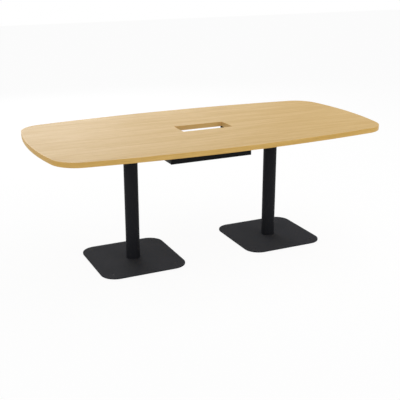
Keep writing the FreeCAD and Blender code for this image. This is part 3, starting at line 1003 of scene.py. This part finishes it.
@dataclass
class Pedestal:
    """A column on a base plate with four glides, and the plate and fasteners that hold the top."""

    side: str
    tube_wall: float = 2.5 * MM
    tube_arris: float = 0.4 * MM
    tube_steps: int = 96
    column_screw: Screw = Screw(HeadForm.COUNTERSUNK, shank_radius=4 * MM, shank_length=18 * MM,
                                head_radius=7.5 * MM, head_height=4 * MM, socket_across=5 * MM,
                                socket_depth=2.5 * MM, thread_start=8.5 * MM)
    board_bolt: Screw = Screw(HeadForm.DOMED, shank_radius=3 * MM, shank_length=18 * MM, head_radius=6 * MM,
                              head_height=3.5 * MM, socket_across=4 * MM, socket_depth=2 * MM,
                              thread_start=7 * MM)
    screw_ring_radius: float = 23 * MM
    bolt_square: float = 125 * MM
    screw_gap: float = 0.4 * MM
    # The base plate's coat carries painted sheen in its lighter tone
    foot_plate: Plate = Plate("foot_plate", "base_plate", SHEEN_PAINTED_BASE_COAT, corner_radius=87 * MM, arris=1.2 * MM,
                              sunk_from_below=True, hole_radius=6.05 * MM, hole_square=190 * MM)
    head_plate: Plate = Plate("head_plate", "mounting_plate", COLUMN_COAT, corner_radius=25 * MM,
                              arris=0.5 * MM, sunk_from_below=False, hole_radius=3.4 * MM,
                              hole_square=bolt_square)
    plug_radius: float = 6 * MM
    plug_chamfer: float = 0.6 * MM
    plug_thread_depth: float = 0.5 * MM
    plug_thread_turns: int = 6
    plug_socket: float = 6 * MM
    plug_socket_depth: float = 3.5 * MM
    spigot_radius: float = 3 * MM
    spigot_gap: float = 0.05 * MM
    spigot_chamfer: float = 0.3 * MM
    pad_arris: float = 0.4 * MM
    pad_arris_middle: float = 0.1 * MM
    pad_thickness: float = 1.2 * MM

    def node(self, name: str) -> str:
        """Return the full name of one of this pedestal's nodes."""
        return f"{self.side}_{name}"

    def axis(self) -> Vector:
        """Return where the column stands on the floor."""
        return foot_of(self.node("column_tube"))

    def screw_square(self) -> float:
        """Return half the side of the square on which the column's end screws stand."""
        return self.screw_ring_radius / math.sqrt(2)

    @staticmethod
    def square(reach: float, middle: Point = ORIGIN) -> list[Place]:
        """Return the four corners of a square, from half its side and its middle."""
        corners = ((-1, -1), (1, -1), (1, 1), (-1, 1))
        return [(middle[0] + x * reach, middle[1] + y * reach) for x, y in corners]

    def build_column(self) -> None:
        """Build the tube, with its ends' outer edges softened."""
        node = self.node("column_tube")
        low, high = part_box(node)
        outer, soft = half_of(node).x, self.tube_arris
        inner = outer - self.tube_wall
        mesh = lathe([(inner, low.z), (outer - soft, low.z), (outer, low.z + soft), (outer, high.z - soft),
                      (outer - soft, high.z), (inner, high.z)], closed=True, steps=self.tube_steps)
        finished_piece(self.node("column"), mesh, COLUMN_COAT, node, self.axis())

    def build_plate(self, plate: Plate) -> None:
        """Build one of the two plates with its holes.

        Args:
            plate: The base plate or the plate under the top.
        """
        node = self.node(plate.node)
        low, high = (corner.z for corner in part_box(node))
        screw = self.column_screw
        shank, sunk = screw.shank_radius + self.screw_gap, screw.head_radius + self.screw_gap
        rings = [(shank, low), (shank, high - screw.head_height), (sunk, high)]
        if plate.sunk_from_below:
            rings = [(sunk, low), (shank, low + screw.head_height), (shank, high)]
        holes = {place: rings for place in self.square(self.screw_square())}
        for place in self.square(plate.hole_square):
            holes[place] = [(plate.hole_radius, low), (plate.hole_radius, high)]
        finished_piece(self.node(plate.name), plate.shape(node, holes), plate.finish, node, self.axis())

    def build_screws(self) -> None:
        """Build the screws under the base plate and the bolts under the top."""
        for name, node, screw, reach in (
                ("foot_screws", "base_screws", self.column_screw, self.screw_square()),
                ("board_bolts", "top_bolts", self.board_bolt, self.bolt_square)):
            screw.build(self.node(name), self.node(node), self.square(reach, self.axis()), ZINC)

    def build_plug(self, glide: str) -> None:
        """Build a glide's threaded plug, with a key socket above and a recess for the pad below.

        Args:
            glide: The glide's body.
        """
        low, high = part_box(f"{glide}_plug")
        radius, chamfer = self.plug_radius, self.plug_chamfer
        recess = self.spigot_radius + self.spigot_gap
        recess_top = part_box(f"{glide}_pad")[1].z
        mouth = to_corner(self.plug_socket) + chamfer
        outline = [(mouth, high.z), (radius - chamfer, high.z), (radius, high.z - chamfer)]
        pitch = (high.z - low.z - 2 * chamfer) / self.plug_thread_turns
        for turn in range(self.plug_thread_turns):
            crest = high.z - chamfer - turn * pitch
            outline += [(radius - self.plug_thread_depth, crest - pitch / 2), (radius, crest - pitch)]
        outline += [(radius - chamfer, low.z), (recess, low.z), (recess, recess_top), (0, recess_top)]
        mesh = lathe(outline)
        key_socket(mesh, mouth, self.plug_socket, high.z, -self.plug_socket_depth)
        finished_piece(f"{glide}_screw", mesh, BLACK_SCREW, f"{glide}_plug", foot_of(f"{glide}_plug"), glide)

    def build_pad(self, glide: str) -> None:
        """Build a glide's pad, with the spigot that is pressed into the plug.

        Args:
            glide: The glide's body.
        """
        low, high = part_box(f"{glide}_pad")
        radius, spigot = half_of(f"{glide}_pad").x, self.spigot_radius
        soft, middle, chamfer = self.pad_arris, self.pad_arris_middle, self.spigot_chamfer
        shoulder = low.z + self.pad_thickness
        mesh = lathe([(0, low.z), (radius - soft, low.z), (radius - middle, low.z + middle),
                      (radius, low.z + soft), (radius, shoulder - soft),
                      (radius - middle, shoulder - middle), (radius - soft, shoulder), (spigot, shoulder),
                      (spigot, high.z - chamfer), (spigot - chamfer, high.z), (0, high.z)])
        finished_piece(f"{glide}_foot", mesh, NYLON, f"{glide}_pad", foot_of(f"{glide}_plug"), glide)

    def build(self) -> None:
        """Build and dress the whole pedestal."""
        self.build_column()
        self.build_plate(self.foot_plate)
        self.build_plate(self.head_plate)
        self.build_screws()
        for number in GLIDE_NUMBERS:
            self.build_plug(self.node(f"glide_{number}"))
            self.build_pad(self.node(f"glide_{number}"))
        for name in ("foot_disc", "head_disc"):
            dress_node(self.node(name), PLAIN_STEEL)
        for name in ("head_screws", "threaded_inserts"):
            dress_node(self.node(name), ZINC)


@dataclass
class CableTray:
    """The folded pan under the cut-out, and the two straps that hang it from the board."""

    sheet_arris: float = 0.35 * MM
    strap_arris: float = 0.5 * MM
    strap_bolt: Screw = Screw(HeadForm.DOMED, shank_radius=2.5 * MM, shank_length=10.5 * MM,
                              head_radius=4.75 * MM, head_height=2.7 * MM, socket_across=3 * MM,
                              socket_depth=1.5 * MM, thread_pitch=0.8 * MM)
    board_screw: Screw = Screw(HeadForm.DOMED, shank_radius=2.25 * MM, shank_length=19 * MM,
                               head_radius=4.5 * MM, head_height=2.8 * MM, socket_across=3 * MM,
                               socket_depth=1.5 * MM, point_length=4 * MM, thread_pitch=2 * MM,
                               thread_depth=0.7 * MM)
    nut: Nut = Nut(across=8 * MM, height=4 * MM, bore_radius=2.55 * MM)

    def build_strap(self, side: str) -> None:
        """Build one strap with its bolts, nuts and screws, which stand in pairs across the table.

        Args:
            side: Which strap, left or right.
        """
        strap = f"{side}_tray_hanger"
        finished_piece(f"{side}_tray_strap", softened_copy(strap, self.strap_arris), TRAY_COAT, strap)
        for name, source, fastener, finish, upwards in (
                ("strap_bolts", "tray_bolts", self.strap_bolt, BLACK_SCREW, False),
                ("strap_nuts", "tray_nuts", self.nut, ZINC, True),
                ("strap_screws", "hanger_screws", self.board_screw, BLACK_SCREW, True)):
            node = f"{side}_{source}"
            low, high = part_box(node)
            middle, reach = foot_of(node).x, fastener.reach()
            places = [(middle, low.y + reach), (middle, high.y - reach)]
            fastener.build(f"{side}_{name}", node, places, finish, upwards)

    def build(self) -> None:
        """Build and dress the tray and both straps."""
        finished_piece("tray", softened_copy("tray_pan", self.sheet_arris), TRAY_COAT, "tray_pan")
        for side in SIDES:
            self.build_strap(side)


# Studio
@dataclass(frozen=True)
class SoftBox:
    """A large soft lamp: where it hangs, what it faces, its size, and its power in watts."""

    name: str
    place: Point
    target: Point
    width: float
    height: float
    power: float


@dataclass
class Studio:
    """The floor, the white surroundings, the lamps and the camera."""

    floor_reach: float = 14.0
    floor_bounce: Paint = (0.75, 0.75, 0.75, 1)
    floor_white: float = 0.92
    sky_light: float = 0.58
    camera_place: Point = (-1.8307, -3.8553, 1.7244)
    camera_yaw: float = 0.4390294666
    camera_dip: float = 0.3235504837
    camera_lens: float = 68.0985
    camera_sensor: float = 36.0
    lamps: tuple[SoftBox, ...] = (
        SoftBox("overhead_lamp", (1.8, -0.4, 3.2), (0.6, 0.0, 0.7), 3.0, 3.0, 28.0),
        SoftBox("far_left_window", (-0.7, 4.8, 2.25), (-0.6, 0.0, 0.74), 1.6, 1.1, 50.0),
        SoftBox("left_window", (0.6, 4.8, 2.25), (-0.4, 0.0, 0.74), 1.0, 1.1, 26.5),
        SoftBox("middle_window", (1.6, 4.8, 2.25), (-0.2, 0.0, 0.74), 1.0, 1.1, 12.5),
        SoftBox("right_window", (2.6, 4.8, 2.25), (0.0, 0.0, 0.74), 1.0, 1.1, 8.0),
        SoftBox("left_fill_lamp", (-7.0, -4.6, 2.6), (0.0, 0.0, 0.5), 3.0, 3.0, 98.0),
        SoftBox("right_fill_lamp", (2.4, -3.2, 2.4), (0.0, 0.0, 0.5), 2.0, 2.0, 16.5),
    )

    @staticmethod
    def seen_directly(sheet: NodeSheet) -> Socket:
        """Tell rays from the camera, a mirror or glass from light that only bounces.

        Args:
            sheet: The node sheet of the floor or the world.

        Returns:
            1 for such a ray, and 0 for light that bounces.
        """
        path = sheet.add("ShaderNodeLightPath")
        seen = sheet.math("MAXIMUM", path.outputs["Is Camera Ray"], path.outputs["Is Glossy Ray"])
        return sheet.math("MAXIMUM", seen, path.outputs["Is Transmission Ray"])

    def build_floor(self) -> None:
        """Build a plain floor that looks white and keeps the table's shadow."""
        mesh = bmesh.new()
        bmesh.ops.create_grid(mesh, x_segments=1, y_segments=1, size=self.floor_reach)
        data = as_data("studio_floor", mesh)
        material = bpy.data.materials.new("studio_floor_finish")
        material.use_nodes = True
        sheet = NodeSheet(material.node_tree)
        sheet.tree.nodes.clear()
        seen = self.seen_directly(sheet)
        tone = sheet.mixed(seen, self.floor_bounce, WHITE)
        matt = sheet.add("ShaderNodeBsdfDiffuse", {"Color": tone})
        glow = sheet.add("ShaderNodeEmission")
        blend = sheet.add("ShaderNodeMixShader", {
            "Fac": sheet.math("MULTIPLY", seen, self.floor_white), 1: matt.outputs["BSDF"],
            2: glow.outputs["Emission"]})
        sheet.add("ShaderNodeOutputMaterial", {"Surface": blend.outputs["Shader"]})
        data.materials.append(material)
        put_in_scene("studio_floor", data)

    def build_world(self) -> None:
        """Surround the table with even light that looks white behind it."""
        world = bpy.data.worlds.new("studio_world")
        world.use_nodes = True
        sheet = NodeSheet(world.node_tree)
        strength = sheet.ranged(self.seen_directly(sheet), WHOLE, (self.sky_light, 1.0))
        sheet.feed(world.node_tree.nodes["Background"], {"Color": WHITE, "Strength": strength})
        bpy.context.scene.world = world

    def build_lamps(self) -> None:
        """Hang the soft lamps, each turned to its target and hidden from the camera."""
        for box in self.lamps:
            data = bpy.data.lights.new(box.name, "AREA")
            data.shape = "RECTANGLE"
            data.size, data.size_y, data.energy = box.width, box.height, box.power
            lamp = put_in_scene(box.name, data)
            lamp.location = box.place
            aim = Vector(box.target) - Vector(box.place)
            lamp.rotation_euler = aim.to_track_quat("-Z", "Y").to_euler()
            lamp.visible_camera = False

    def build_camera(self) -> None:
        """Set the camera where the photograph was taken from."""
        data = bpy.data.cameras.new("photo_camera")
        data.lens, data.sensor_width = self.camera_lens, self.camera_sensor
        camera = put_in_scene("photo_camera", data)
        camera.location = self.camera_place
        camera.rotation_euler = (math.pi / 2 - self.camera_dip, 0, -self.camera_yaw)
        bpy.context.scene.camera = camera

    def build(self) -> None:
        """Build the whole studio."""
        bpy.context.scene.view_settings.view_transform = "Standard"
        self.build_camera()
        self.build_floor()
        self.build_world()
        self.build_lamps()


def main() -> None:
    """Build the studio and the table."""
    logging.basicConfig(level=logging.INFO, format="%(name)s %(message)s")
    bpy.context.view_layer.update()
    Studio().build()
    Tabletop().build()
    for side in SIDES:
        Pedestal(side).build()
    CableTray().build()


if __name__ == "__main__":
    main()
